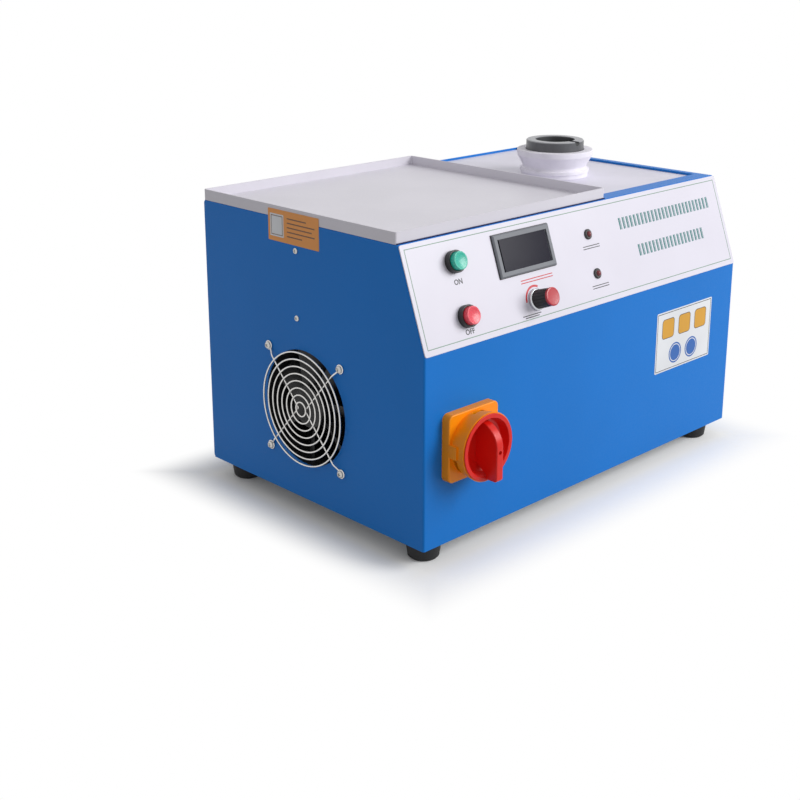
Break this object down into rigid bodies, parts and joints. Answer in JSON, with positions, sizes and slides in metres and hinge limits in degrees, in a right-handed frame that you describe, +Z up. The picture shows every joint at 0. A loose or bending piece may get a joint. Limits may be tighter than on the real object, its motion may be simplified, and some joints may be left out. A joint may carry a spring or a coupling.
{
  "type": "induction melting furnace",
  "caption": "Tabletop induction furnace: sheet case with sloped controls, work tray, melting well with graphite crucible, side fan and rotary isolator.",
  "frame": {"origin": "on the bench under the middle of the case, between the four feet", "axes": "+X along the case to the right of the person at the controls, +Y from the controls to the back panel, +Z up"},
  "size_m": [0.4961, 0.391, 0.337],
  "materials": {
    "case_blue": "smooth powder coat, satin",
    "zinc_sheet": "zinc-plated sheet",
    "deck_white": "white powder coat, satin",
    "tray_white": "off-white powder coat, satin",
    "panel_print": "printed polyester film on sheet",
    "zinc_steel": "bright zinc",
    "fan_black": "moulded, matte",
    "guard_chrome": "plated wire",
    "isolator_orange": "moulded, semi-gloss",
    "isolator_red": "moulded, semi-gloss",
    "moulded_black": "moulded, satin",
    "bezel_grey": "moulded, satin",
    "screen_dark": "glossy screen, off",
    "turned_aluminium": "bare",
    "knob_red": "moulded, gloss",
    "lamp_red": "translucent lens, off",
    "board_green": "circuit board",
    "graphite": "machined graphite",
    "collar_ceramic": "white, unglazed",
    "refractory": "fired, rough",
    "fibre_blanket": "ceramic fibre",
    "copper": "bare copper",
    "ferrite": "ferrite with varnished windings",
    "capacitor_sleeve": "heat-shrunk sleeve",
    "brass": "machined",
    "hose_rubber": "smooth",
    "cap_green": "moulded, gloss",
    "cap_red": "moulded, gloss",
    "foot_rubber": "moulded, matte"
  },
  "bodies": {
    "housing": {"back_panel": "case_blue", "back_screws": "zinc_steel", "base_pan": "zinc_sheet", "body_wrap": "case_blue", "cable_gland": "moulded_black", "capacitor_bank": "capacitor_sleeve", "coil_sleeve": "fibre_blanket", "coil_terminals": "copper", "control_board": "board_green", "control_nuts": "zinc_steel", "control_panel": "panel_print", "crucible_liner": "refractory", "deck_plate": "deck_white", "display_bezel": "bezel_grey", "display_screen": "screen_dark", "earth_stud": "brass", "fan_frame": "fan_black", "fan_guard": "guard_chrome", "fan_screws": "zinc_steel", "flow_switch": "moulded_black", "foot_back_left": "foot_rubber", "foot_back_right": "foot_rubber", "foot_front_left": "foot_rubber", "foot_front_right": "foot_rubber", "foot_screws": "zinc_steel", "furnace_collar": "collar_ceramic", "heatsink": "turned_aluminium", "igbt_modules": "moulded_black", "induction_coil": "copper", "inlet_hose": "hose_rubber", "isolator_plate": "isolator_orange", "isolator_switch_body": "moulded_black", "lamp_holders": "moulded_black", "lamp_lenses": "lamp_red", "outlet_hose": "hose_rubber", "output_transformer": "ferrite", "pot_body": "zinc_steel", "power_board": "board_green", "power_supply": "turned_aluminium", "start_bezel": "moulded_black", "start_contact_block": "moulded_black", "stop_bezel": "moulded_black", "stop_contact_block": "moulded_black", "supply_bracket": "zinc_sheet", "supply_screws": "zinc_steel", "terminal_block": "moulded_black", "water_inlet": "brass", "water_outlet": "brass", "well_base": "refractory", "well_bracket": "zinc_sheet", "work_tray": "tray_white"},
    "start_button": {"start_cap": "cap_green"},
    "stop_button": {"stop_cap": "cap_red"},
    "power_knob": {"power_knob": "moulded_black", "power_knob_cap": "knob_red", "pot_shaft": "turned_aluminium"},
    "isolator_rotor": {"isolator_handle": "isolator_red", "isolator_shaft": "zinc_steel"},
    "fan_rotor": {"fan_impeller": "fan_black"},
    "crucible": {"graphite_crucible": "graphite"}
  },
  "joints": [
    {"name": "start_press", "type": "slide", "parent": "housing", "child": "start_button", "axis": [0, 0.9421, -0.3354], "range_m": [0, 0.003], "stiffness_N_per_m": 300, "springref_m": -0.001},
    {"name": "stop_press", "type": "slide", "parent": "housing", "child": "stop_button", "axis": [0, 0.9421, -0.3354], "range_m": [0, 0.003], "stiffness_N_per_m": 300, "springref_m": -0.001},
    {"name": "power_turn", "type": "hinge", "parent": "housing", "child": "power_knob", "pos_m": [-0.089, -0.14979, 0.22517], "axis": [0, -0.9421, 0.3354], "range_deg": [-300, 0]},
    {"name": "isolator_turn", "type": "hinge", "parent": "housing", "child": "isolator_rotor", "pos_m": [-0.19, -0.1575, 0.1145], "axis": [0, -1, 0], "range_deg": [-90, 0]},
    {"name": "fan_spin", "type": "hinge", "parent": "housing", "child": "fan_rotor", "pos_m": [-0.245, 0.005, 0.1155], "axis": [-1, 0, 0], "continuous": true},
    {"name": "crucible_lift", "type": "slide", "parent": "housing", "child": "crucible", "axis": [0, 0, 1], "range_m": [0, 0.13]}
  ]
}
